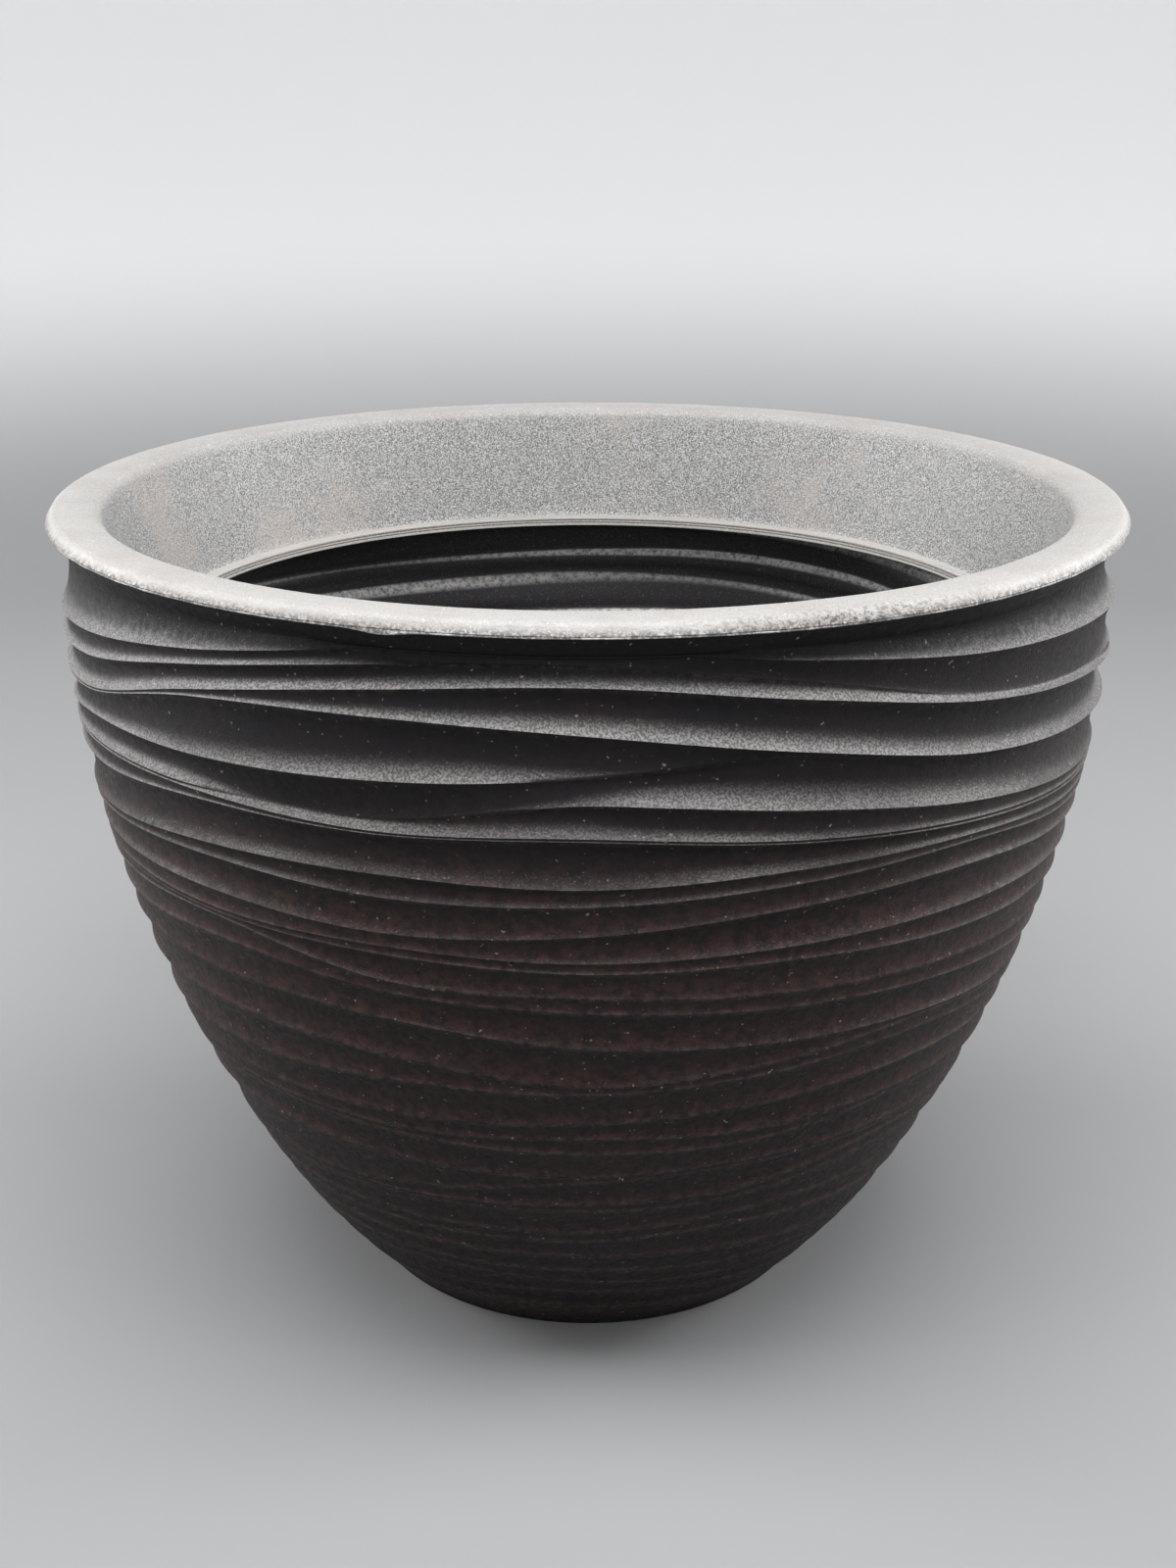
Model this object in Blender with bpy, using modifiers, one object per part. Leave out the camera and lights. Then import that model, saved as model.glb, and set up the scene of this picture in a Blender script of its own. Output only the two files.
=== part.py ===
"""Round planter pot with rippled walls, a rolled rim collar and four drain plugs.

Units are metres, +Z is up and -Y is the front. The origin is the centre of the
foot, on the surface that the pot stands on.
"""

import math

import bmesh
import bpy
import numpy as np

MM = 0.001

# Overall sizes.
HEIGHT = 435 * MM
RIM_RADIUS = 280 * MM
WALL = 5 * MM
FIT_GAP = 0.3 * MM

# The wall flares out from its neck and ends at the parting line under the rim.
PARTING_HEIGHT = 428.5 * MM
FLARE_RADIUS = 279 * MM
FLARE_HEIGHT = 426 * MM
NECK_RADIUS = 271.5 * MM
NECK_HEIGHT = 419.5 * MM

# Foot and floor.
FOOT_RADIUS = 131 * MM
FOOT_ROUNDING = 3 * MM
FOOT_INNER_RADIUS = 114 * MM
RECESS_RADIUS = 109 * MM
RECESS_HEIGHT = 10 * MM
FLOOR_HEIGHT = RECESS_HEIGHT + WALL

# Rim and collar. Below the lip angle, in degrees above level, the rounding ends
# and the lip slopes straight out to its lower corner.
RIM_OUTER_ROUNDING = 4 * MM
RIM_LIP_ANGLE = 25
RIM_INNER_ROUNDING = 8 * MM
RIM_CROWN_OUTER = 274 * MM
RIM_CROWN_INNER = 259 * MM
COLLAR_FOOT_RADIUS = 231 * MM
COLLAR_FOOT_HEIGHT = 372 * MM
LEDGE_RADIUS = 224 * MM
LEDGE_TOP = 368.5 * MM

# Drain holes and plugs.
DRAIN_CIRCLE_RADIUS = 72 * MM
HOLE_RADIUS = 12.5 * MM
PLUG_HEAD_RADIUS = 18 * MM
PLUG_HEAD_THICKNESS = 3.5 * MM
PLUG_STEM_RADIUS = HOLE_RADIUS - FIT_GAP
PLUG_TIP_RADIUS = 11 * MM
PLUG_TIP_HEIGHT = 5 * MM
KNOB_NECK_RADIUS = 5 * MM
KNOB_RADIUS = 7.5 * MM
KNOB_HEIGHT = 16 * MM

# Outline of the ripple crests, as height and radius.
WALL_OUTLINE = [
    (3 * MM, 133 * MM),
    (51 * MM, 170 * MM),
    (127 * MM, 212 * MM),
    (211 * MM, 245 * MM),
    (295 * MM, 266 * MM),
    (371 * MM, 275 * MM),
    (NECK_HEIGHT, 274.5 * MM),
]

# Ripples: heights of each crest line in millimetres at nine stations across the
# front, 20 degrees apart from -80 to +80. The back repeats them mirrored.
STATION_STEP = 20
CREST_LINES = [
    (388, 394, 405, 412, 413, 411, 404, 398, 393),
    (361, 367, 387, 401, 406, 397, 382, 372, 366),
    (353, 359, 380, 390, 386, 374, 358, 348, 343),
    (341, 350, 356, 361, 358, 348, 335, 325, 321),
    (331, 336, 338, 337, 340, 333, 325, 316, 312),
    (298, 303, 312, 317, 314, 313, 312, 304, 299),
    (280, 284, 287, 287, 293, 300, 299, 289, 283),
    (266, 270, 274, 275, 276, 276, 274, 268, 262),
    (246, 252, 260, 255, 252, 246, 240, 229, 222),
    (228, 236, 240, 238, 231, 228, 227, 216, 209),
    (206, 213, 217, 215, 207, 210, 213, 202, 196),
    (168, 173, 177, 180, 184, 188, 190, 185, 178),
    (155, 160, 164, 165, 164, 164, 168, 163, 156),
    (136, 143, 147, 147, 147, 149, 147, 142, 135),
    (104, 110, 116, 121, 126, 128, 131, 127, 121),
    (88, 94, 99, 101, 103, 109, 108, 100, 93),
    (68, 73, 77, 81, 82, 79, 74, 68, 64),
    (47, 51, 56, 60, 58, 54, 50, 47, 44),
    (27, 29, 31, 33, 32, 30, 28, 27, 26),
]

# Between two crests the wall sinks into a valley. Its depth is limited to a share
# of the band's height, and it lies at a share of the way down the band.
VALLEY_DEPTH = 5 * MM
VALLEY_DEPTH_PER_BAND = 0.22
VALLEY_POSITION = 0.4

# How far the lines wander up and down on the back.
BACK_LIFT = 4 * MM

COLUMNS = 36
RIM_STEPS = 40
PLUG_STEPS = 20
HOLE_SEGMENTS = 28
ARC_STEPS = 4

COLUMN_ANGLES = np.radians(np.arange(COLUMNS) * 360 / COLUMNS)

BODY_COLOUR = (0.040, 0.035, 0.034, 1)
RIM_COLOUR = (0.30, 0.29, 0.285, 1)
RUBBER_COLOUR = (0.018, 0.018, 0.019, 1)


def clear_scene():
    for item in list(bpy.data.objects):
        bpy.data.objects.remove(item, do_unlink=True)


def make_collection(name):
    collection = bpy.data.collections.new(name)
    bpy.context.scene.collection.children.link(collection)
    return collection


def make_material(name, colour, roughness):
    material = bpy.data.materials.new(name)
    material.use_nodes = True
    shader = material.node_tree.nodes["Principled BSDF"]
    shader.inputs["Base Color"].default_value = colour
    shader.inputs["Roughness"].default_value = roughness
    shader.inputs["Metallic"].default_value = 0
    return material


def add_object(name, mesh, collection, material=None):
    item = bpy.data.objects.new(name, mesh)
    collection.objects.link(item)
    if material:
        mesh.materials.append(material)
    return item


def arc(centre, radius, start, end):
    """Points (r, z) on an arc, from one angle in degrees to another."""
    angles = np.radians(np.linspace(start, end, ARC_STEPS + 1))
    return [(centre[0] + radius * math.cos(a), centre[1] + radius * math.sin(a)) for a in angles]


def smooth_through(points, position):
    """Read a cubic curve with natural-looking tangents through (x, y) points."""
    xs, ys = np.array(points).T
    slopes = np.gradient(ys, xs)
    index = np.clip(np.searchsorted(xs, position) - 1, 0, len(xs) - 2)
    span = xs[index + 1] - xs[index]
    t = np.clip((position - xs[index]) / span, 0, 1)
    start = (1 + 2 * t) * (1 - t) ** 2 * ys[index] + t * (1 - t) ** 2 * span * slopes[index]
    end = t * t * (3 - 2 * t) * ys[index + 1] + t * t * (t - 1) * span * slopes[index + 1]
    return start + end


def crest_heights(front_heights):
    """Heights of one crest line at every column, as a closed smooth curve."""
    loop = np.array(front_heights + front_heights[::-1]) * MM
    place = (np.degrees(COLUMN_ANGLES) + 80) / STATION_STEP % len(loop)
    index = place.astype(int)
    t = place - index
    before, here, after, beyond = [loop[(index + step) % len(loop)] for step in (-1, 0, 1, 2)]
    bend = (2 * before - 5 * here + 4 * after - beyond) * t ** 2
    bend += (3 * here - before - 3 * after + beyond) * t ** 3
    heights = here + 0.5 * ((after - before) * t + bend)
    behind = ((1 - np.cos(COLUMN_ANGLES)) / 2) ** 2
    lift = BACK_LIFT * behind * np.sin(3 * COLUMN_ANGLES + 0.5) * np.sin(math.pi * heights / HEIGHT)
    return heights + lift


def wall_rows():
    """Rows of (radii, heights) down the outside of the wall, two for each ripple."""
    level = np.ones(COLUMNS)
    above = NECK_HEIGHT * level
    rows = [
        (FLARE_RADIUS * level, PARTING_HEIGHT * level),
        (FLARE_RADIUS * level, FLARE_HEIGHT * level),
        (NECK_RADIUS * level, above),
    ]
    for line in CREST_LINES:
        crest = crest_heights(line)
        valley = above + VALLEY_POSITION * (crest - above)
        depth = np.minimum(VALLEY_DEPTH, VALLEY_DEPTH_PER_BAND * (above - crest))
        rows.append((smooth_through(WALL_OUTLINE, valley) - depth, valley))
        rows.append((smooth_through(WALL_OUTLINE, crest), crest))
        above = crest
    return rows


def foot_rows():
    """Rows from the foot's rounded edge to the rim of the recess under the floor."""
    level = np.ones(COLUMNS)
    rounded = arc((FOOT_RADIUS - FOOT_ROUNDING, FOOT_ROUNDING), FOOT_ROUNDING, 0, -90)
    outline = rounded + [(FOOT_INNER_RADIUS, 0), (RECESS_RADIUS, RECESS_HEIGHT)]
    return [(radius * level, height * level) for radius, height in outline]


def loft(name, rows):
    """Join closed rows of points into one open skin with a flat end at the last row."""
    mesh = bpy.data.meshes.new(name)
    skin = bmesh.new()
    loops = []
    for radii, heights in rows:
        xs = radii * np.sin(COLUMN_ANGLES)
        ys = -radii * np.cos(COLUMN_ANGLES)
        loops.append([skin.verts.new(point) for point in zip(xs, ys, heights)])
    for upper, lower in zip(loops, loops[1:]):
        for a in range(COLUMNS):
            b = (a + 1) % COLUMNS
            skin.faces.new((upper[a], lower[a], lower[b], upper[b]))
    skin.faces.new(loops[-1][::-1])
    skin.to_mesh(mesh)
    skin.free()
    return mesh


def solidify_inwards(item):
    solidify = item.modifiers.new("wall", "SOLIDIFY")
    solidify.thickness = WALL
    solidify.offset = -1
    solidify.solidify_mode = "NON_MANIFOLD"
    solidify.nonmanifold_thickness_mode = "CONSTRAINTS"
    solidify.use_rim = True


def turn(item, steps):
    screw = item.modifiers.new("turn", "SCREW")
    screw.steps = steps
    screw.render_steps = steps
    screw.use_merge_vertices = True
    screw.merge_threshold = 0.00005
    screw.use_smooth_shade = True


def outline_mesh(name, points, closed=False):
    """A profile in the XZ plane, at +X, running down the outer side."""
    mesh = bpy.data.meshes.new(name)
    edges = [(i, i + 1) for i in range(len(points) - 1)]
    if closed:
        edges.append((len(points) - 1, 0))
    mesh.from_pydata([(radius, 0, height) for radius, height in points], edges, [])
    return mesh


def drain_places():
    """Name and (x, y) of each drain hole."""
    names = ["front", "right", "back", "left"]
    turns = [math.radians(90 * i) for i in range(len(names))]
    return [(name, DRAIN_CIRCLE_RADIUS * math.sin(a), -DRAIN_CIRCLE_RADIUS * math.cos(a))
            for name, a in zip(names, turns)]


def make_hole_cutter(name, x, y, collection):
    mesh = bpy.data.meshes.new(name)
    cutter = bmesh.new()
    bmesh.ops.create_cone(cutter, cap_ends=True, segments=HOLE_SEGMENTS,
                          radius1=HOLE_RADIUS, radius2=HOLE_RADIUS, depth=4 * WALL)
    cutter.to_mesh(mesh)
    cutter.free()
    item = add_object(name, mesh, collection)
    item.location = (x, y, FLOOR_HEIGHT - WALL / 2)
    item.hide_render = True
    item.display_type = "WIRE"
    return item


def make_pot_shell(collection, cutters, material):
    mesh = loft("pot_shell", wall_rows() + foot_rows())
    shell = add_object("pot_shell", mesh, collection, material)
    solidify_inwards(shell)
    for name, x, y in drain_places():
        drill = shell.modifiers.new("drain_" + name, "BOOLEAN")
        drill.operation = "DIFFERENCE"
        drill.solver = "EXACT"
        drill.object = make_hole_cutter("cut_drain_" + name, x, y, cutters)
    return shell


def collar_outline():
    """Closed section of the rim and collar, up the inner side and down the outer side."""
    run = RIM_CROWN_INNER - RIM_INNER_ROUNDING - COLLAR_FOOT_RADIUS
    slope = math.degrees(math.atan2(run, HEIGHT - COLLAR_FOOT_HEIGHT))
    outer_centre = (RIM_CROWN_OUTER, HEIGHT - RIM_OUTER_ROUNDING)
    inner_centre = (RIM_CROWN_INNER, HEIGHT - RIM_INNER_ROUNDING)
    seat = PARTING_HEIGHT + FIT_GAP
    ledge_foot = LEDGE_TOP - WALL
    top_side = [(LEDGE_RADIUS, ledge_foot), (LEDGE_RADIUS, LEDGE_TOP)]
    top_side += [(COLLAR_FOOT_RADIUS - 2 * MM, LEDGE_TOP), (COLLAR_FOOT_RADIUS, COLLAR_FOOT_HEIGHT)]
    top_side += arc(inner_centre, RIM_INNER_ROUNDING, 180 - slope, 90)
    top_side += arc(outer_centre, RIM_OUTER_ROUNDING, 90, RIM_LIP_ANGLE)
    seat_inner = FLARE_RADIUS - WALL
    under_side = [(RIM_RADIUS, seat), (seat_inner, seat), (seat_inner, HEIGHT - WALL)]
    under_side += arc(inner_centre, RIM_INNER_ROUNDING - WALL, 90, 180 - slope)
    under_side += [(COLLAR_FOOT_RADIUS + WALL, COLLAR_FOOT_HEIGHT)]
    under_side += [(COLLAR_FOOT_RADIUS + 2 * MM, ledge_foot)]
    return top_side + under_side


def make_rim_collar(collection, material):
    mesh = outline_mesh("rim_collar", collar_outline(), closed=True)
    rim = add_object("rim_collar", mesh, collection, material)
    turn(rim, RIM_STEPS)
    return rim


def plug_outline():
    """From the top of the knob down its outer side to the tip of the stem."""
    top = FLOOR_HEIGHT + FIT_GAP + PLUG_HEAD_THICKNESS
    base = FLOOR_HEIGHT + FIT_GAP
    knob_top = top + KNOB_HEIGHT
    return [
        (0, knob_top),
        (KNOB_RADIUS - 2 * MM, knob_top),
        (KNOB_RADIUS, knob_top - 2 * MM),
        (KNOB_RADIUS, knob_top - 5 * MM),
        (KNOB_NECK_RADIUS, knob_top - 8 * MM),
        (KNOB_NECK_RADIUS, top + 2 * MM),
        (KNOB_NECK_RADIUS + 2 * MM, top),
        (PLUG_HEAD_RADIUS - 1 * MM, top),
        (PLUG_HEAD_RADIUS, top - 1 * MM),
        (PLUG_HEAD_RADIUS, base),
        (PLUG_STEM_RADIUS, base),
        (PLUG_STEM_RADIUS, RECESS_HEIGHT),
        (PLUG_TIP_RADIUS, PLUG_TIP_HEIGHT),
        (0, PLUG_TIP_HEIGHT),
    ]


def make_drain_plugs(collection, material):
    mesh = outline_mesh("drain_plug", plug_outline())
    mesh.materials.append(material)
    for name, x, y in drain_places():
        plug = add_object("drain_plug_" + name, mesh, collection)
        plug.location = (x, y, 0)
        turn(plug, PLUG_STEPS)


def main():
    clear_scene()
    parts = make_collection("planter_pot")
    cutters = make_collection("cutters")
    make_pot_shell(parts, cutters, make_material("body_plastic", BODY_COLOUR, 0.55))
    make_rim_collar(parts, make_material("rim_plastic", RIM_COLOUR, 0.6))
    make_drain_plugs(parts, make_material("plug_rubber", RUBBER_COLOUR, 0.7))


main()
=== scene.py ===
"""Rippled planter pot: the visual model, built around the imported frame.

Units are metres and +Z is up. Angles around the pot start at the front, -Y, and
grow towards +X. The pot's axis is the Z axis.
"""

import math

import bmesh
import bpy
import numpy as np
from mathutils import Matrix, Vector, noise


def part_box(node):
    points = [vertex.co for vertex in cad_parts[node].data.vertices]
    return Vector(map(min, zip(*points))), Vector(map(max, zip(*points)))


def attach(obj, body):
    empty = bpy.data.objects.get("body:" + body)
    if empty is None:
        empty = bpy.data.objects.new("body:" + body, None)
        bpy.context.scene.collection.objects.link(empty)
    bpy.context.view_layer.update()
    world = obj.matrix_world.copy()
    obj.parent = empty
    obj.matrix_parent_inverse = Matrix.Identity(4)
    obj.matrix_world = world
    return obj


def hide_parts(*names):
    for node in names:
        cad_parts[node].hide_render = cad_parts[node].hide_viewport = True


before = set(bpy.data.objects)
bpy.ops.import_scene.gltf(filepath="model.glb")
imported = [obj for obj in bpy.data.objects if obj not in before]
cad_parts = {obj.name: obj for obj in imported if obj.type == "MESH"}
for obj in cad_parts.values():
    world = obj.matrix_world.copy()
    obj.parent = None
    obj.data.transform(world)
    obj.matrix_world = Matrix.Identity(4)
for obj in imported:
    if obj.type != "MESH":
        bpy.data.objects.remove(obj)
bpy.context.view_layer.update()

MM = 0.001

# Sizes that the frame gives.
RIM_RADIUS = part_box("rim_collar")[1][0]
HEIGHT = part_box("rim_collar")[1][2]
PARTING_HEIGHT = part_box("pot_shell")[1][2]
LEDGE_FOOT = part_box("rim_collar")[0][2]
FLARE_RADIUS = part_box("pot_shell")[1][0]

# Sizes repeated from the part's design.
WALL = 5 * MM
FIT_GAP = 0.3 * MM
NECK_RADIUS = 271.5 * MM
NECK_HEIGHT = 419.5 * MM
FOOT_RADIUS = 131 * MM
FOOT_ROUNDING = 3 * MM
FOOT_INNER_RADIUS = 114 * MM
RECESS_RADIUS = 109 * MM
RECESS_HEIGHT = 10 * MM
FLOOR_HEIGHT = RECESS_HEIGHT + WALL
FLOOR_RADIUS = 119 * MM
DRAIN_CIRCLE_RADIUS = 72 * MM
HOLE_RADIUS = 12.5 * MM
CROWN_OUTER = RIM_RADIUS - 6 * MM
CROWN_INNER = 259 * MM
OUTER_ROUNDING = 4 * MM
INNER_ROUNDING = 8 * MM
COLLAR_FOOT_RADIUS = 231 * MM
COLLAR_FOOT_HEIGHT = 372 * MM
LEDGE_RADIUS = 224 * MM
LEDGE_TOP = LEDGE_FOOT + WALL

# Outline of the ripple crests, as height and radius.
WALL_OUTLINE = [
    (3 * MM, 133 * MM),
    (51 * MM, 170 * MM),
    (127 * MM, 212 * MM),
    (211 * MM, 245 * MM),
    (295 * MM, 266 * MM),
    (371 * MM, 275 * MM),
    (NECK_HEIGHT, 274.5 * MM),
]

# Heights of each crest line in millimetres at nine stations across the front,
# 20 degrees apart from -80 to +80.
STATION_STEP = 20
CREST_LINES = [
    (388, 394, 405.5, 418, 421, 414, 404, 398, 393),
    (376, 382, 398.5, 412, 415, 403.5, 383.5, 373.5, 368),
    (361, 366, 387, 401.5, 407, 397, 382, 372, 366),
    (358, 364.5, 384, 390, 386.5, 374, 357.5, 348, 343),
    (341, 352, 356.5, 361.5, 367, 373, 356, 346.5, 341),
    (333, 338, 341, 342, 355, 347.5, 334, 322.5, 318),
    (331, 336, 339, 338, 340.5, 333.5, 325.5, 317.5, 313),
    (321, 326, 335, 336.5, 339, 332, 323.5, 315, 310),
    (297, 303, 313, 317, 316, 319, 317, 308, 302),
    (290, 299, 306, 305.5, 307.5, 312, 313.5, 303, 298),
    (280, 284, 287.5, 287, 292.5, 300, 301, 292, 286),
    (272, 275.5, 277.5, 280, 278.5, 280, 279, 274, 268),
    (268, 273, 275, 275.5, 273, 272.5, 266, 259, 251),
    (262, 268, 272.5, 261, 259.5, 254.5, 249, 241, 234),
    (246, 252, 260, 254.5, 251.5, 246, 239.5, 229, 222),
    (228, 236, 239.5, 239, 231, 226, 220.5, 211, 204),
    (206, 213, 217.5, 216, 207.5, 213, 218, 208, 201),
    (182, 189, 194.5, 202, 203, 207, 209.5, 200, 193),
    (168, 173, 177, 179.5, 184, 188, 190.5, 185, 178),
    (159, 165, 168.5, 170, 174, 171, 171.5, 166, 160),
    (157, 162, 166, 165, 164, 163.5, 168, 163, 156),
    (136, 143, 146.5, 147, 147, 149.5, 147.5, 142, 135),
    (109, 115, 119, 130, 143, 147, 145.5, 140, 133),
    (104, 110.5, 116, 121.5, 126, 128, 138, 133, 126),
    (101, 107.5, 113.5, 119, 120.5, 122, 129, 123, 116),
    (88, 94, 99, 101.5, 103, 109, 108, 100, 93),
    (82, 87, 91, 94, 95.5, 99, 92, 84, 78),
    (68, 73, 77, 81, 82, 78, 70, 64, 60),
    (56, 60, 65, 68, 69, 65, 60, 55, 51),
    (47, 51, 56, 60.5, 57, 53, 49, 45, 42),
    (34, 37, 40, 44, 45.5, 41, 37, 35, 33),
    (22, 24, 27, 29, 28, 25, 23, 22, 21),
]
MIN_BAND = 1.2 * MM

# The same at nine stations across the back, from 100 to 260 degrees, for the lines
# whose grooves show inside the mouth. The other lines repeat the front mirrored.
BACK_LINES = {
    3: (344, 346, 352.5, 358, 362, 363, 364, 363, 360),
    4: (331, 326, 336, 340, 338.5, 337.5, 339, 341, 341),
    5: (314, 312, 320, 325.5, 326, 325.5, 328, 330, 332),
    6: (309, 308, 316, 322, 323, 322, 323.5, 327, 330),
    7: (305, 300, 299.5, 300.5, 298.5, 299, 303, 310, 317),
    8: (298, 292, 289, 290, 288, 289, 291, 294, 296),
    9: (293, 286, 282, 281, 280, 281, 284, 287, 289),
}

# How deep the ripples are at each height, as a share of their full depth.
RELIEF = [(20 * MM, 0.35), (150 * MM, 0.45), (250 * MM, 0.55), (330 * MM, 0.95), (420 * MM, 1.0)]

# Lines that fade away for part of the way round: the line's number, the four angles in
# degrees between which it sinks, stays sunk and comes back, and the least that it sinks.
FADES = [
    (0, -30, -16, 6, 20, 3.4 * MM),
    (1, -24, -12, 60, 80, 3.2 * MM),
    (4, -14, 5, 60, 80, 4 * MM),
    (5, -45, -30, -2, 7, 0),
]

# Between two crests the wall sinks into a valley. Its depth is limited to a share of the
# band's height, and it lies at a share of the way down the band.
VALLEY_DEPTH = 5.5 * MM
VALLEY_DEPTH_PER_BAND = 0.28
VALLEY_POSITION = 0.5
VALLEY_SHARPNESS = 2.6

# How far the lines wander up and down on the back, and how wide a crest is worn.
BACK_LIFT = 4 * MM
WEAR_WIDTH = 1.3 * MM

# The rim shelters the wall from dust, and a painted shade darkens the wall under it, where it hangs out
# by this share of the height between them. It does so fully once the span is added.
SHELTER_START = 0.26
SHELTER_SPAN = 0.28

# Columns around the wall, rows down its flare, and the rows of each band between two crests,
# as shares of the way down.
COLUMNS = 252
FLARE_STEPS = 4
BAND_STEPS = (0.05, 0.16, 0.33, 0.52, 0.7, 0.84, 0.94, 1.0)

# The inner wall is the outer one moved in. Its ripples are softened over the blur's length,
# and then scaled by the relief.
INNER_BLUR = 1.2 * MM
INNER_RELIEF = 1.3
INNER_SAMPLES = 858

# Heights between which the inner wall has its rows, and the number of rows in each part.
# They are closest where the mouth shows the wall.
INNER_PARTS = [(FLOOR_HEIGHT, 285 * MM, 36), (285 * MM, 362 * MM, 60), (362 * MM, PARTING_HEIGHT, 11)]

# The rim. Its ledge has grooves in the cut edge, at shares of the ledge's thickness. A torn
# sliver hangs from the flash, and part of the outer edge is pitted: both in degrees.
RIM_COLUMNS = 480
CUT_GROOVES = (0.32, 0.62)
CUT_GROOVE_DEPTH = 0.35 * MM
RIM_ROUGHENING = 0.35 * MM
SLIVER_ANGLE = -17.5
SLIVER_WIDTH = 2.2
SLIVER_LENGTH = 1.5 * MM
PITS_ANGLE = 23
PITS_WIDTH = 11

HOLE_SEGMENTS = 48
PLUG_HEAD_THICKNESS = 3.5 * MM
PLUG_STEPS = 64

# The studio around the pot.
BACKDROP_RADIUS = 2.3
BACKDROP_HEIGHT = 2.6
SWEEP = 0.7
BACKDROP_STEPS = 96
CAMERA_PLACE = (0, -1.032, 0.642)
CAMERA_TILT = 69.97
LENS = 45
SENSOR_WIDTH = 36

# Colours of the pot's wall, as linear red, green, blue and alpha.
BODY_DARK = (0.0150, 0.0098, 0.0100, 1)
BODY_BROWN = (0.041, 0.0215, 0.0195, 1)
BODY_BLOOM = (0.0112, 0.0102, 0.0116, 1)
# Painted shade for faces that look down.
BODY_PAINTED_UNDERSIDE_SHADE = (0.004, 0.0034, 0.0038, 1)
# Painted shade for the wall under the overhanging rim.
BODY_PAINTED_RIM_SHADE = (0.004, 0.0036, 0.004, 1)
BODY_GRAIN = (0.15, 0.122, 0.112, 1)
BODY_DUST = (0.245, 0.238, 0.234, 1)
BODY_SPECKS = (0.24, 0.215, 0.19, 1)
BODY_WORN = (0.20, 0.170, 0.155, 1)
# The inner wall's dark, made paler as painted fill light.
INNER_DARK_WITH_PAINTED_FILL = (0.052, 0.050, 0.053, 1)
INNER_GRAIN = (0.20, 0.20, 0.21, 1)
# Lime on the inner ridges, made paler as a painted highlight.
INNER_LIME_AND_HIGHLIGHT = (0.85, 0.835, 0.82, 1)

# Colours of the rim and collar.
RIM_DARK_GRAIN = (0.066, 0.066, 0.067, 1)
RIM_PALE_GRAIN = (0.385, 0.381, 0.374, 1)
RIM_WARM = (0.30, 0.262, 0.235, 1)
RIM_CROWN = (0.29, 0.280, 0.270, 1)
# The rubbed outer edge, paler also as a painted highlight.
RIM_EDGE_WEAR_AND_HIGHLIGHT = (0.44, 0.42, 0.40, 1)
RIM_SMEAR = (0.215, 0.185, 0.165, 1)
RIM_CUT = (0.34, 0.32, 0.295, 1)
RIM_GLINTS = (0.52, 0.52, 0.53, 1)
RIM_GRIME = (0.030, 0.025, 0.024, 1)

# Colours of the plugs and the backdrop.
RUBBER = (0.014, 0.014, 0.015, 1)
RUBBER_DUST = (0.045, 0.043, 0.041, 1)
FLOOR_DARK = (0.235, 0.236, 0.240, 1)
FLOOR_PALE = (0.255, 0.256, 0.260, 1)
BACKDROP_PALE = (0.61, 0.612, 0.617, 1)
SKY = (0.97, 0.98, 1.0, 1)


# Meshes -----------------------------------------------------------------------

def column_angles(count):
    return np.arange(count) * 2 * math.pi / count


def arc(centre, radius, start, end, steps=8):
    """Points (r, z) on an arc, from one angle in degrees to another."""
    angles = np.radians(np.linspace(start, end, steps + 1))
    return [(centre[0] + radius * math.cos(a), centre[1] + radius * math.sin(a)) for a in angles]


def smooth_through(points, position):
    """Read a smooth curve through (x, y) points."""
    xs, ys = np.array(points).T
    slopes = np.gradient(ys, xs)
    index = np.clip(np.searchsorted(xs, position) - 1, 0, len(xs) - 2)
    span = xs[index + 1] - xs[index]
    t = np.clip((position - xs[index]) / span, 0, 1)
    start = (1 + 2 * t) * (1 - t) ** 2 * ys[index] + t * (1 - t) ** 2 * span * slopes[index]
    end = t * t * (3 - 2 * t) * ys[index + 1] + t * t * (t - 1) * span * slopes[index + 1]
    return start + end


def crest_heights(number, angles):
    """Heights of one crest line at every column, as a closed smooth curve."""
    front_heights = CREST_LINES[number]
    loop = np.array(front_heights + BACK_LINES.get(number, front_heights[::-1])) * MM
    place = (np.degrees(angles) + 80) / STATION_STEP % len(loop)
    index = place.astype(int)
    t = place - index
    before, here, after, beyond = [loop[(index + step) % len(loop)] for step in (-1, 0, 1, 2)]
    bend = (2 * before - 5 * here + 4 * after - beyond) * t ** 2
    bend += (3 * here - before - 3 * after + beyond) * t ** 3
    heights = here + 0.5 * ((after - before) * t + bend)
    if number in BACK_LINES:
        return heights
    behind = ((1 - np.cos(angles)) / 2) ** 2
    lift = BACK_LIFT * behind * np.sin(3 * angles + 0.5) * np.sin(math.pi * heights / HEIGHT)
    return heights + lift


def all_crests(angles):
    """Every crest line from the top down, kept in order and a little apart."""
    above = np.full(len(angles), NECK_HEIGHT)
    crests = []
    for number in range(len(CREST_LINES)):
        above = np.minimum(crest_heights(number, angles), above - MIN_BAND)
        crests.append(above)
    return crests


def signed_degrees(angles):
    """Angles in degrees from -180 to 180, with 0 at the front."""
    return (np.degrees(angles) + 180) % 360 - 180


def sunk_share(number, angles):
    """How far a crest line has sunk at every column, from 0 to 1, and the least it sinks."""
    degrees = signed_degrees(angles)
    sunk = np.zeros(len(angles))
    least = 0
    for line, start, gone, back, whole, sinking in FADES:
        if line == number:
            down = np.clip((degrees - start) / (gone - start), 0, 1)
            up = np.clip((whole - degrees) / (whole - back), 0, 1)
            sunk = np.minimum(down, up)
            least = sinking
    return sunk * sunk * (3 - 2 * sunk), least


def valley_shape(t):
    """How far in the wall lies between two crests: 0 at a crest and 1 in the valley."""
    u = t ** (math.log(0.5) / math.log(VALLEY_POSITION))
    return 1 - np.abs(2 * u - 1) ** VALLEY_SHARPNESS


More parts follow.
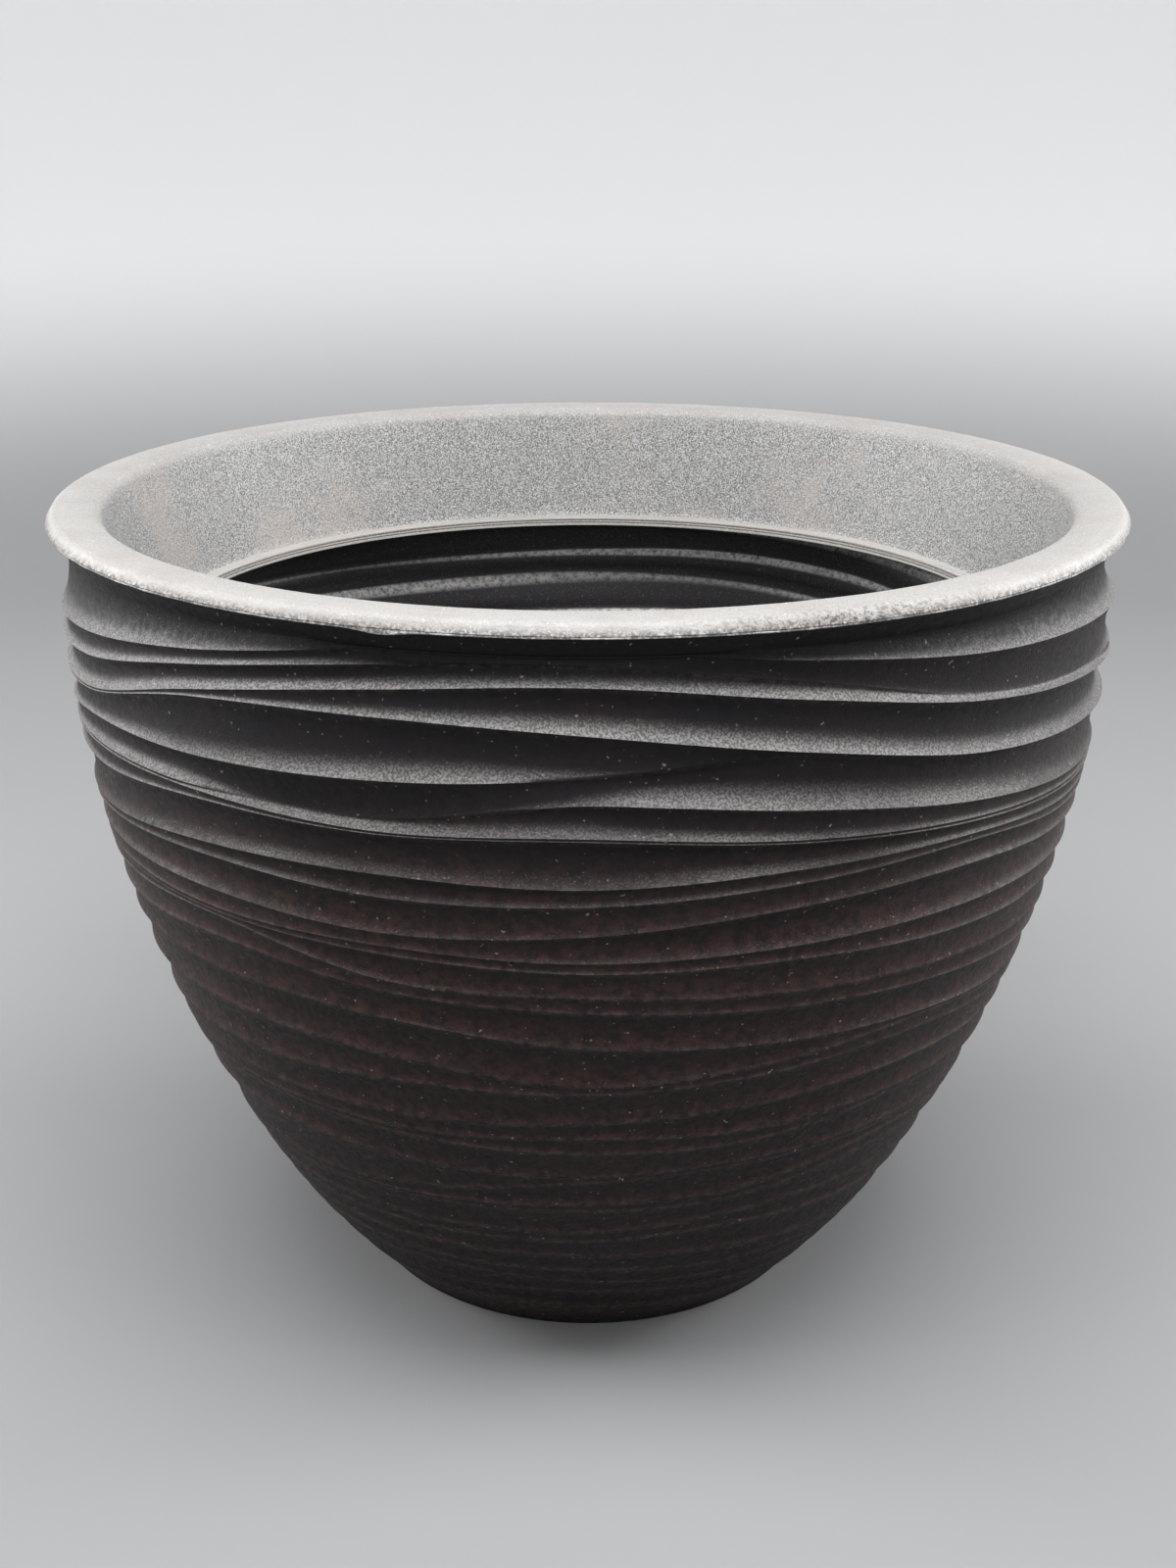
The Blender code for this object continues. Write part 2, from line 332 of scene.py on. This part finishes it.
def outer_rows(angles):
    """Rows (radius, height, wear) down the outside, from the parting line to the last crest."""
    level = np.ones(len(angles))
    rows = []
    for t in np.linspace(0, 1, FLARE_STEPS + 1):
        height = PARTING_HEIGHT + t * (NECK_HEIGHT - PARTING_HEIGHT)
        radius = FLARE_RADIUS + (NECK_RADIUS - FLARE_RADIUS) * t ** 0.8
        rows.append((radius * level, height * level, 0 * level))
    above = NECK_HEIGHT * level
    sink_above = 0 * level
    for number, crest in enumerate(all_crests(angles)):
        spacing = above - crest
        swell = 0.85 + 0.2 * np.sin(2 * angles + 1.7 * number)
        swell = swell + 0.1 * np.sin(5 * angles + 2.3 * number)
        depth = np.minimum(VALLEY_DEPTH, VALLEY_DEPTH_PER_BAND * spacing)
        depth = depth * swell * np.interp(crest, *np.array(RELIEF).T)
        sunk, least = sunk_share(number, angles)
        sink = sunk * np.maximum(0.8 * depth, least)
        for t in BAND_STEPS:
            height = above - t * spacing
            valley = (1 - 0.6 * sunk) * depth * valley_shape(t)
            radius = smooth_through(WALL_OUTLINE, height) - valley
            radius = radius - (1 - t) * sink_above - t * sink
            if number == 0:
                radius = radius - (1 - t) ** 2 * (smooth_through(WALL_OUTLINE, NECK_HEIGHT) - NECK_RADIUS)
            nearest = np.minimum(t if number else 1, 1 - t) * spacing
            wear = np.exp(-(nearest / WEAR_WIDTH) ** 2) * np.clip(spacing / (6 * MM), 0.1, 1)
            rows.append((radius, height, wear * (1 - sunk)))
        above = crest
        sink_above = sink
    return rows


def foot_rows(angles):
    """Rows around the foot to the edge of the recess under the floor."""
    level = np.ones(len(angles))
    rounded = arc((FOOT_RADIUS - FOOT_ROUNDING, FOOT_ROUNDING), FOOT_ROUNDING, 0, -90)
    outline = rounded + [(FOOT_INNER_RADIUS, 0), (RECESS_RADIUS, RECESS_HEIGHT)]
    return [(radius * level, height * level, 0 * level) for radius, height in outline]


def inner_rows(angles, outside):
    """Rows up the inside: the outside a wall's thickness in, with its ripples softened."""
    radii = np.array([row[0] for row in outside])
    heights = np.array([row[1] for row in outside])
    parts = [np.linspace(low, high, count, endpoint=False) for low, high, count in INNER_PARTS]
    levels = np.append(np.concatenate(parts), PARTING_HEIGHT)
    fine = np.linspace(0, PARTING_HEIGHT, INNER_SAMPLES)
    step = fine[1] - fine[0]
    reach = int(3 * INNER_BLUR / step)
    weights = np.exp(-0.5 * (np.arange(-reach, reach + 1) * step / INNER_BLUR) ** 2)
    weights /= weights.sum()
    broad = smooth_through(WALL_OUTLINE, fine)
    inside = np.empty((len(levels), len(angles)))
    for column in range(len(angles)):
        wall = np.interp(fine, heights[::-1, column], radii[::-1, column])
        soft = np.convolve(np.pad(wall, reach, mode="edge"), weights, mode="valid")
        inside[:, column] = np.interp(levels, fine, broad + INNER_RELIEF * (soft - broad)) - WALL
    inside[0] = FLOOR_RADIUS
    inside[-1] = FLARE_RADIUS - WALL
    level = np.ones(len(angles))
    return [(radius, height * level, 0 * level) for radius, height in zip(inside, levels)]


def rim_shade_and_shelter(radius, height):
    """How well the overhanging rim keeps dust off the wall and how deep its painted shade is, from 0 to
    1.
    """
    overhang = (RIM_RADIUS - radius) / np.maximum(PARTING_HEIGHT - height, 1 * MM)
    return np.clip((overhang - SHELTER_START) / SHELTER_SPAN, 0, 1)


def ring_points(rows, angles):
    """Points of every row, row after row."""
    loops = []
    for radius, height, _ in rows:
        loops.append(np.stack([radius * np.sin(angles), -radius * np.cos(angles), height], axis=1))
    return np.concatenate(loops)


def ring_faces(row_count, columns, closed=False):
    """Quads between neighbouring rows, and from the last row to the first if closed."""
    a = np.arange(columns)
    b = (a + 1) % columns
    faces = []
    for row in range(row_count if closed else row_count - 1):
        upper = row * columns
        lower = (row + 1) % row_count * columns
        faces.append(np.stack([upper + a, lower + a, lower + b, upper + b], axis=1))
    return np.concatenate(faces)


def store(mesh, name, values):
    attribute = mesh.attributes.new(name, "FLOAT", "POINT")
    attribute.data.foreach_set("value", np.asarray(values, dtype=np.float32))


def add_piece(name, mesh, material, sharp_angle=60):
    mesh.materials.append(material)
    mesh.shade_smooth()
    mesh.set_sharp_from_angle(angle=math.radians(sharp_angle))
    piece = bpy.data.objects.new(name, mesh)
    bpy.context.scene.collection.objects.link(piece)
    return piece


def drain_places():
    """Name and (x, y) of each drain hole."""
    names = ["front", "right", "back", "left"]
    turns = [math.radians(90 * i) for i in range(len(names))]
    return [(name, DRAIN_CIRCLE_RADIUS * math.sin(a), -DRAIN_CIRCLE_RADIUS * math.cos(a))
            for name, a in zip(names, turns)]


def ring_edges(body, verts):
    """Edges around a closed ring of vertices, made where they are missing."""
    pairs = zip(verts, verts[1:] + verts[:1])
    return [body.edges.get(pair) or body.edges.new(pair) for pair in pairs]


def fill_floor(mesh, row_count, columns):
    """Close the shell with a floor that has the drain holes through it."""
    body = bmesh.new()
    body.from_mesh(mesh)
    body.verts.ensure_lookup_table()
    inside = body.verts.layers.float["inside"]
    upper_ring = [body.verts[i] for i in range(columns)]
    lower_ring = [body.verts[(row_count - 1) * columns + i] for i in range(columns)]
    upper_edges = ring_edges(body, upper_ring)
    lower_edges = ring_edges(body, lower_ring)
    for _, x, y in drain_places():
        tops = []
        bottoms = []
        for angle in column_angles(HOLE_SEGMENTS):
            px = x + HOLE_RADIUS * math.cos(angle)
            py = y + HOLE_RADIUS * math.sin(angle)
            tops.append(body.verts.new((px, py, FLOOR_HEIGHT)))
            tops[-1][inside] = 1
            bottoms.append(body.verts.new((px, py, RECESS_HEIGHT)))
        upper_edges += ring_edges(body, tops)
        lower_edges += ring_edges(body, bottoms)
        for i in range(HOLE_SEGMENTS):
            j = (i + 1) % HOLE_SEGMENTS
            body.faces.new((tops[i], tops[j], bottoms[j], bottoms[i]))
    bmesh.ops.triangle_fill(body, use_beauty=True, edges=upper_edges, normal=(0, 0, 1))
    bmesh.ops.triangle_fill(body, use_beauty=True, edges=lower_edges, normal=(0, 0, -1))
    bmesh.ops.recalc_face_normals(body, faces=body.faces)
    body.to_mesh(mesh)
    body.free()


def make_pot(material):
    angles = column_angles(COLUMNS)
    outside = outer_rows(angles) + foot_rows(angles)
    inside = inner_rows(angles, outside)
    rows = inside + outside
    mesh = bpy.data.meshes.new("pot_wall")
    faces = ring_faces(len(rows), COLUMNS)
    mesh.from_pydata(ring_points(rows, angles).tolist(), [], faces.tolist())
    store(mesh, "wear", np.concatenate([row[2] for row in rows]))
    store(mesh, "inside", np.repeat([1.0] * len(inside) + [0.0] * len(outside), COLUMNS))
    shade_and_shelter = [0 * angles] * len(inside) + [rim_shade_and_shelter(row[0], row[1]) for row in outside]
    store(mesh, "shade_and_shelter", np.concatenate(shade_and_shelter))
    fill_floor(mesh, len(rows), COLUMNS)
    return add_piece("pot_wall", mesh, material)


def rim_outline():
    """Closed section of the rim and collar, up the inner side and down the outer side."""
    run = CROWN_INNER - INNER_ROUNDING - COLLAR_FOOT_RADIUS
    slope = math.degrees(math.atan2(run, HEIGHT - COLLAR_FOOT_HEIGHT))
    outer_centre = (CROWN_OUTER, HEIGHT - OUTER_ROUNDING)
    inner_centre = (CROWN_INNER, HEIGHT - INNER_ROUNDING)
    seat = PARTING_HEIGHT + FIT_GAP
    points = [(LEDGE_RADIUS, LEDGE_FOOT)]
    for share in CUT_GROOVES:
        middle = LEDGE_FOOT + share * WALL
        points += [(LEDGE_RADIUS, middle - CUT_GROOVE_DEPTH)]
        points += [(LEDGE_RADIUS + CUT_GROOVE_DEPTH, middle)]
        points += [(LEDGE_RADIUS, middle + CUT_GROOVE_DEPTH)]
    points += [(LEDGE_RADIUS, LEDGE_TOP - 0.4 * MM), (LEDGE_RADIUS + 0.4 * MM, LEDGE_TOP)]
    points += arc((COLLAR_FOOT_RADIUS - 2 * MM, LEDGE_TOP + 3.5 * MM), 3.5 * MM, -90, -slope, 6)
    fillet = arc(inner_centre, INNER_ROUNDING, 180 - slope, 90, 14)
    start = np.array(points[-1])
    points += [tuple(start + (np.array(fillet[0]) - start) * f) for f in np.linspace(0.08, 0.92, 12)]
    points += fillet
    points += arc(outer_centre, OUTER_ROUNDING, 90, 25, 8)
    points += [(RIM_RADIUS - 0.5 * MM, seat + 1.3 * MM), (RIM_RADIUS - 0.7 * MM, seat + 0.9 * MM)]
    points += [(RIM_RADIUS, seat + 0.5 * MM), (RIM_RADIUS - 0.2 * MM, seat)]
    points += [(FLARE_RADIUS - WALL, seat), (FLARE_RADIUS - WALL, HEIGHT - WALL)]
    points += arc(inner_centre, INNER_ROUNDING - WALL, 90, 180 - slope, 6)
    points += [(COLLAR_FOOT_RADIUS + WALL, COLLAR_FOOT_HEIGHT)]
    points += [(COLLAR_FOOT_RADIUS + 2 * MM, LEDGE_FOOT)]
    return points


def cut_share(radius, height):
    """1 on the freshly cut parts of the ledge, 0 in its grooves and elsewhere."""
    if radius > COLLAR_FOOT_RADIUS or not LEDGE_FOOT <= height <= LEDGE_TOP + 1 * MM:
        return 0
    in_groove = LEDGE_RADIUS < radius < LEDGE_RADIUS + 0.38 * MM and height < LEDGE_TOP - 0.5 * MM
    return 0 if in_groove else 1


def edge_share(radius, height):
    """1 at the rim's outer edge, falling towards 0 away from it."""
    squares = (radius - RIM_RADIUS) ** 2 + (height - HEIGHT + OUTER_ROUNDING) ** 2
    return math.exp(-squares / (6 * MM) ** 2)


def flash_rows(rows, angles):
    """Make the thin flash under the rim uneven, with one torn sliver that hangs from it."""
    seat = PARTING_HEIGHT + FIT_GAP
    torn = np.exp(-((signed_degrees(angles) - SLIVER_ANGLE) / SLIVER_WIDTH) ** 2)
    uneven = 0.12 * MM * (np.sin(23 * angles + 1) + np.sin(57 * angles) + np.sin(91 * angles + 2))
    shaped = []
    for radius, height, _ in rows:
        if radius[0] > RIM_RADIUS - 0.3 * MM and height[0] < seat + 0.6 * MM:
            radius = radius - 0.36 * MM + uneven + 0.3 * MM * torn
            height = height - SLIVER_LENGTH * torn
        shaped.append((radius, height, 0 * angles))
    return shaped


def make_rim(material):
    angles = column_angles(RIM_COLUMNS)
    level = np.ones(RIM_COLUMNS)
    outline = rim_outline()
    pitted = 0.15 + np.exp(-((signed_degrees(angles) - PITS_ANGLE) / PITS_WIDTH) ** 2)
    rows = flash_rows([(r * level, z * level, 0 * level) for r, z in outline], angles)
    mesh = bpy.data.meshes.new("rim")
    faces = ring_faces(len(rows), RIM_COLUMNS, closed=True)
    mesh.from_pydata(ring_points(rows, angles).tolist(), [], faces.tolist())
    store(mesh, "edge", np.repeat([edge_share(r, z) for r, z in outline], RIM_COLUMNS))
    store(mesh, "cut", np.repeat([cut_share(r, z) for r, z in outline], RIM_COLUMNS))
    store(mesh, "pitted", np.tile(pitted, len(outline)))
    roughen(mesh, RIM_ROUGHENING)
    return add_piece("rim", mesh, material, 50)


def roughen(mesh, amount):
    """Move the rim's visible skin a little in and down, as a worn moulding is."""
    seat = PARTING_HEIGHT + FIT_GAP
    for vertex in mesh.vertices:
        point = vertex.co
        radius = math.hypot(point.x, point.y)
        if point.z < seat + 0.1 * MM and radius > LEDGE_RADIUS + 20 * MM:
            continue
        wave = 0.5 + 0.5 * noise.noise(point * 45)
        fine = 0.5 + 0.5 * noise.noise(point * 260)
        inwards = amount * (0.6 * wave + 0.4 * fine)
        if point.z > LEDGE_TOP + 1 * MM:
            point.z -= inwards
        if radius > CROWN_OUTER:
            scale = 1 - inwards / radius
            point.x *= scale
            point.y *= scale


def plug_outline():
    """From the top of the knob down its outer side to the tip of the stem."""
    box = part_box("drain_plug_front")
    head = FLOOR_HEIGHT + FIT_GAP
    top = head + PLUG_HEAD_THICKNESS
    knob_top = box[1][2]
    points = [(0, knob_top), (2.2 * MM, knob_top), (3.0 * MM, knob_top - 0.6 * MM)]
    points += [(3.8 * MM, knob_top)]
    points += arc((5.4 * MM, knob_top - 2.1 * MM), 2.1 * MM, 90, -45, 8)
    points += arc((7.4 * MM, knob_top - 8 * MM), 2.4 * MM, 130, 180, 5)
    points += arc((7.2 * MM, top + 2.2 * MM), 2.2 * MM, 180, 270, 6)
    points += [(12 * MM, top), (12.5 * MM, top - 0.4 * MM)]
    points += [(13.5 * MM, top - 0.4 * MM), (14 * MM, top)]
    points += arc((16.8 * MM, top - 1.2 * MM), 1.2 * MM, 90, 0, 5)
    points += [(18 * MM, head), (HOLE_RADIUS - FIT_GAP, head), (HOLE_RADIUS - FIT_GAP, RECESS_HEIGHT)]
    points += [(11 * MM, box[0][2]), (0, box[0][2])]
    return points


def make_plug(name, x, y, material):
    angles = column_angles(PLUG_STEPS)
    outline = plug_outline()
    body = bmesh.new()
    loops = []
    for radius, height in outline[1:-1]:
        places = [(x + radius * math.sin(a), y - radius * math.cos(a), height) for a in angles]
        loops.append([body.verts.new(place) for place in places])
    for upper, lower in zip(loops, loops[1:]):
        for i in range(PLUG_STEPS):
            j = (i + 1) % PLUG_STEPS
            body.faces.new((upper[i], lower[i], lower[j], upper[j]))
    body.faces.new(loops[0])
    body.faces.new(loops[-1][::-1])
    mesh = bpy.data.meshes.new("plug_" + name)
    body.to_mesh(mesh)
    body.free()
    return add_piece("plug_" + name, mesh, material, 40)


# Materials ----------------------------------------------------------------------

class Nodes:
    """A material's nodes, made and linked by short calls that return sockets."""

    def __init__(self, name):
        self.material = bpy.data.materials.new(name)
        self.material.use_nodes = True
        self.tree = self.material.node_tree
        self.shader = self.tree.nodes["Principled BSDF"]
        self.place = self.tree.nodes.new("ShaderNodeTexCoord").outputs["Object"]

    def feed(self, socket, value):
        if isinstance(value, bpy.types.NodeSocket):
            self.tree.links.new(value, socket)
        else:
            socket.default_value = value

    def noise(self, scale, detail=2, roughness=0.5, vector=None):
        node = self.tree.nodes.new("ShaderNodeTexNoise")
        self.feed(node.inputs["Vector"], vector or self.place)
        node.inputs["Scale"].default_value = scale
        node.inputs["Detail"].default_value = detail
        node.inputs["Roughness"].default_value = roughness
        return node.outputs["Fac"]

    def around(self, along, across):
        """A vector that changes slowly around the pot and fast outwards and upwards."""
        split = self.tree.nodes.new("ShaderNodeSeparateXYZ")
        self.feed(split.inputs[0], self.place)
        x, y, z = split.outputs
        squares = self.math("ADD", self.math("MULTIPLY", x, x), self.math("MULTIPLY", y, y))
        outwards = self.math("ADD", self.math("SQRT", squares), z)
        joined = self.tree.nodes.new("ShaderNodeCombineXYZ")
        self.feed(joined.inputs[0], self.math("MULTIPLY", x, along))
        self.feed(joined.inputs[1], self.math("MULTIPLY", y, along))
        self.feed(joined.inputs[2], self.math("MULTIPLY", outwards, across))
        return joined.outputs[0]

    def range(self, value, low, high, start=0, end=1):
        """Map low..high to start..end, smoothly and clamped."""
        node = self.tree.nodes.new("ShaderNodeMapRange")
        node.interpolation_type = "SMOOTHSTEP"
        self.feed(node.inputs["Value"], value)
        node.inputs["From Min"].default_value = low
        node.inputs["From Max"].default_value = high
        node.inputs["To Min"].default_value = start
        node.inputs["To Max"].default_value = end
        return node.outputs["Result"]

    def math(self, operation, a, b=0):
        node = self.tree.nodes.new("ShaderNodeMath")
        node.operation = operation
        self.feed(node.inputs[0], a)
        self.feed(node.inputs[1], b)
        return node.outputs[0]

    def mix(self, factor, a, b):
        node = self.tree.nodes.new("ShaderNodeMix")
        node.data_type = "RGBA"
        self.feed(node.inputs["Factor"], factor)
        self.feed(node.inputs[6], a)
        self.feed(node.inputs[7], b)
        return node.outputs[2]

    def height(self):
        node = self.tree.nodes.new("ShaderNodeSeparateXYZ")
        self.feed(node.inputs[0], self.place)
        return node.outputs["Z"]

    def up(self):
        """How far the surface faces up: the Z part of its normal."""
        node = self.tree.nodes.new("ShaderNodeSeparateXYZ")
        self.feed(node.inputs[0], self.tree.nodes.new("ShaderNodeNewGeometry").outputs["Normal"])
        return node.outputs["Z"]

    def attribute(self, name):
        node = self.tree.nodes.new("ShaderNodeAttribute")
        node.attribute_name = name
        return node.outputs["Fac"]

    def bump(self, value, distance, strength=1, normal=None):
        node = self.tree.nodes.new("ShaderNodeBump")
        self.feed(node.inputs["Height"], value)
        node.inputs["Distance"].default_value = distance
        node.inputs["Strength"].default_value = strength
        if normal:
            self.feed(node.inputs["Normal"], normal)
        return node.outputs["Normal"]

    def finish(self, colour, roughness, normal):
        self.feed(self.shader.inputs["Base Color"], colour)
        self.feed(self.shader.inputs["Roughness"], roughness)
        self.feed(self.shader.inputs["Normal"], normal)
        return self.material


def body_material():
    """Brown-black moulded plastic: sandblasted, dusty near the top, worn on the crests, with painted
    shade under the rim and on faces that look down, and painted light on the inner wall.
    """
    n = Nodes("body_plastic")
    grain = n.noise(1000, 2, 0.6)
    flecks = n.range(grain, 0.38, 0.62)
    patches = n.noise(16, 4, 0.6)
    inside = n.attribute("inside")
    mottle = n.range(n.noise(190, 5, 0.75), 0.38, 0.64)
    colour = n.mix(mottle, BODY_DARK, BODY_BROWN)
    bloom = n.math("MULTIPLY", n.range(n.height(), 0.27, 0.37), n.range(patches, 0.3, 0.65, 0.7, 1))
    colour = n.mix(bloom, colour, BODY_BLOOM)
    # Painted shade: faces that look down are darkened towards near black.
    colour = n.mix(n.range(n.up(), -0.55, 0.0, 0.8, 0), colour, BODY_PAINTED_UNDERSIDE_SHADE)
    sparse = n.math("MULTIPLY", n.range(grain, 0.55, 0.75), n.range(n.up(), -0.1, 0.45, 0.0, 0.40))
    colour = n.mix(sparse, colour, BODY_GRAIN)
    aged = n.math("ADD", n.height(), n.range(n.noise(7, 3), 0.3, 0.7, -0.02, 0.02))
    settled = n.math("MULTIPLY", n.range(n.up(), 0.06, 0.70), n.range(aged, 0.29, 0.375, 0.03, 1))
    settled = n.math("MULTIPLY", settled, n.range(flecks, 0, 1, 0.34, 1))
    open_sky = n.math("SUBTRACT", 1, n.attribute("shade_and_shelter"))
    settled = n.math("MULTIPLY", settled, n.math("MULTIPLY", open_sky, n.math("SUBTRACT", 1, inside)))
    colour = n.mix(settled, colour, BODY_DUST)
    # The inner wall's dark plastic, lifted as painted fill light for the wall inside the mouth.
    colour = n.mix(n.math("MULTIPLY", inside, 0.85), colour, INNER_DARK_WITH_PAINTED_FILL)
    inner_grain = n.math("MULTIPLY", inside, n.range(grain, 0.56, 0.72, 0, 0.5))
    colour = n.mix(inner_grain, colour, INNER_GRAIN)
    # Lime on the ridges of the upper inner wall that look up, made paler as a painted highlight.
    ragged = n.range(n.noise(300, 5, 0.8), 0.32, 0.60, 0.1, 0.95)
    upper_inside = n.math("MULTIPLY", inside, n.range(n.height(), 0.20, 0.29, 0.12, 1))
    lime_and_highlight = n.math("MULTIPLY", n.math("MULTIPLY", upper_inside, n.range(n.up(), 0.34, 0.62)), ragged)
    colour = n.mix(lime_and_highlight, colour, INNER_LIME_AND_HIGHLIGHT)
    # Painted shade: the wall under the overhanging rim is darkened towards near black.
    colour = n.mix(n.math("MULTIPLY", n.attribute("shade_and_shelter"), 0.75), colour, BODY_PAINTED_RIM_SHADE)
    specks = n.range(n.noise(430, 1), 0.72, 0.80, 0, 0.7)
    colour = n.mix(specks, colour, BODY_SPECKS)
    rubbed = n.range(n.noise(240, 3, 0.7), 0.40, 0.65, 0.0, 0.15)
    colour = n.mix(n.math("MULTIPLY", n.attribute("wear"), rubbed), colour, BODY_WORN)
    roughness = n.range(n.noise(300, 2), 0.3, 0.7, 0.48, 0.66)
    roughness = n.math("SUBTRACT", roughness, n.math("MULTIPLY", inside, 0.16))
    n.shader.inputs["Specular IOR Level"].default_value = 0.17
    normal = n.bump(n.noise(60, 3), 0.4 * MM, 0.3)
    normal = n.bump(grain, 0.35 * MM, 0.6, normal)
    return n.finish(colour, roughness, normal)


def rim_material():
    """Weathered grey plastic: granular all over, palest on the crown, pitted on the outer edge, whose
    paleness is partly a painted highlight.
    """
    n = Nodes("rim_plastic")
    grain = n.noise(1150, 2, 0.65)
    colour = n.mix(n.range(grain, 0.35, 0.68), RIM_DARK_GRAIN, RIM_PALE_GRAIN)
    warm = n.range(n.noise(12, 5, 0.65), 0.48, 0.68, 0, 0.5)
    colour = n.mix(warm, colour, RIM_WARM)
    crown = n.range(n.height(), HEIGHT - 9 * MM, HEIGHT - 1 * MM, 0, 0.65)
    colour = n.mix(crown, colour, RIM_CROWN)
    brushed = n.noise(1, 5, 0.7, n.around(14, 700))
    edge = n.attribute("edge")
    # The outer edge is paler in brushed streaks: rubbed wear, and partly a painted highlight on the rim's
    # outer face.
    rubbed = n.math("MULTIPLY", edge, n.range(brushed, 0.3, 0.6, 0.45, 0.9))
    colour = n.mix(rubbed, colour, RIM_EDGE_WEAR_AND_HIGHLIGHT)
    smear = n.range(n.noise(28, 5, 0.7), 0.42, 0.62, 0, 0.4)
    colour = n.mix(n.math("MULTIPLY", smear, crown), colour, RIM_SMEAR)
    cut = n.math("MULTIPLY", n.attribute("cut"), n.range(brushed, 0.35, 0.6, 0.35, 0.9))
    colour = n.mix(cut, colour, RIM_CUT)
    pits = n.range(n.noise(460, 4, 0.7), 0.48, 0.60, 0, 0.85)
    pits = n.math("MULTIPLY", n.attribute("pitted"), n.math("MULTIPLY", edge, pits))
    colour = n.mix(pits, colour, RIM_GRIME)
    underside = n.range(n.height(), HEIGHT - 1.5 * MM, PARTING_HEIGHT + 1.2 * MM)
    outer_face = n.math("MULTIPLY", edge, n.range(n.up(), 0.97, 0.6))
    granular = n.range(n.noise(520, 3, 0.7), 0.40, 0.56, 0.3, 1)
    grime = n.math("MULTIPLY", n.math("MULTIPLY", underside, outer_face), granular)
    colour = n.mix(n.math("MULTIPLY", grime, 0.9), colour, RIM_GRIME)
    glints = n.range(n.noise(520, 1), 0.68, 0.78, 0, 0.6)
    colour = n.mix(glints, colour, RIM_GLINTS)
    roughness = n.range(n.noise(260, 2), 0.3, 0.7, 0.45, 0.65)
    normal = n.bump(n.noise(120, 4, 0.7), 0.5 * MM, 0.4)
    normal = n.bump(grain, 0.4 * MM, 0.6, normal)
    return n.finish(colour, roughness, normal)


def rubber_material():
    """Matte black rubber with a faint bloom."""
    n = Nodes("plug_rubber")
    dust = n.range(n.noise(90, 4, 0.6), 0.45, 0.7, 0, 0.5)
    colour = n.mix(dust, RUBBER, RUBBER_DUST)
    roughness = n.range(n.noise(200, 3), 0.3, 0.7, 0.6, 0.8)
    return n.finish(colour, roughness, n.bump(n.noise(600, 2), 0.15 * MM, 0.5))


def backdrop_material():
    """Plain paper: grey on the floor, and paler up the wall."""
    n = Nodes("backdrop")
    colour = n.mix(n.noise(3, 3), FLOOR_DARK, FLOOR_PALE)
    colour = n.mix(n.range(n.height(), 0.02, 0.40), colour, BACKDROP_PALE)
    return n.finish(colour, 0.8, n.bump(n.noise(80, 3), 0.2 * MM, 0.2))


# Scene ----------------------------------------------------------------------------

def make_camera():
    data = bpy.data.cameras.new("camera")
    data.lens = LENS
    data.sensor_width = SENSOR_WIDTH
    camera = bpy.data.objects.new("camera", data)
    camera.location = CAMERA_PLACE
    camera.rotation_euler = (math.radians(CAMERA_TILT), 0, 0)
    bpy.context.scene.collection.objects.link(camera)
    bpy.context.scene.camera = camera


def add_area_light(name, place, aim, size, energy):
    """A soft light, turned towards its aim, with its size in metres and energy in watts."""
    data = bpy.data.lights.new(name, "AREA")
    data.shape = "RECTANGLE"
    data.size, data.size_y = size
    data.energy = energy
    light = bpy.data.objects.new(name, data)
    light.visible_camera = False
    light.location = place
    light.rotation_euler = (Vector(aim) - Vector(place)).to_track_quat("-Z", "Y").to_euler()
    bpy.context.scene.collection.objects.link(light)


def make_lights():
    add_area_light("overhead", (0, -0.58, 1.75), (0, -0.1, 0.2), (1.5, 0.7), 41)
    add_area_light("behind", (0, 1.2, 1.9), (0, 0, 0.2), (1.2, 0.6), 5)
    add_area_light("front", (0, -2.0, 1.3), (0, 0.2, 0.3), (1.2, 0.7), 6.5)
    for side in (-1, 1):
        add_area_light("side", (side * 1.9, 0.40, 0.85), (0, 0, 0.25), (0.8, 0.8), 31)
    world = bpy.data.worlds.new("studio")
    world.use_nodes = True
    background = world.node_tree.nodes["Background"]
    background.inputs["Color"].default_value = SKY
    background.inputs["Strength"].default_value = 0.56
    bpy.context.scene.world = world


def make_backdrop(material):
    """A round floor that sweeps up into a pale wall, wide enough to look from every side."""
    angles = column_angles(BACKDROP_STEPS)
    outline = [(BACKDROP_RADIUS, BACKDROP_HEIGHT)]
    outline += arc((BACKDROP_RADIUS - SWEEP, SWEEP), SWEEP, 0, -90, 10)
    outline += [(0.5, 0)]
    rows = [(r * np.ones(BACKDROP_STEPS), z * np.ones(BACKDROP_STEPS), 0) for r, z in outline]
    faces = ring_faces(len(rows), BACKDROP_STEPS)[:, ::-1].tolist()
    first = (len(rows) - 1) * BACKDROP_STEPS
    faces.append(list(range(first, first + BACKDROP_STEPS)))
    mesh = bpy.data.meshes.new("backdrop")
    mesh.from_pydata(ring_points(rows, angles).tolist(), [], faces)
    add_piece("backdrop", mesh, material, 80)


def finish_piece(piece, body, node):
    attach(piece, body)
    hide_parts(node)


def main():
    make_camera()
    make_lights()
    make_backdrop(backdrop_material())
    bpy.context.scene.view_settings.view_transform = "Standard"
    finish_piece(make_pot(body_material()), "pot", "pot_shell")
    finish_piece(make_rim(rim_material()), "pot", "rim_collar")
    rubber = rubber_material()
    for name, x, y in drain_places():
        plug = make_plug(name, x, y, rubber)
        finish_piece(plug, "plug_" + name, "drain_plug_" + name)


main()
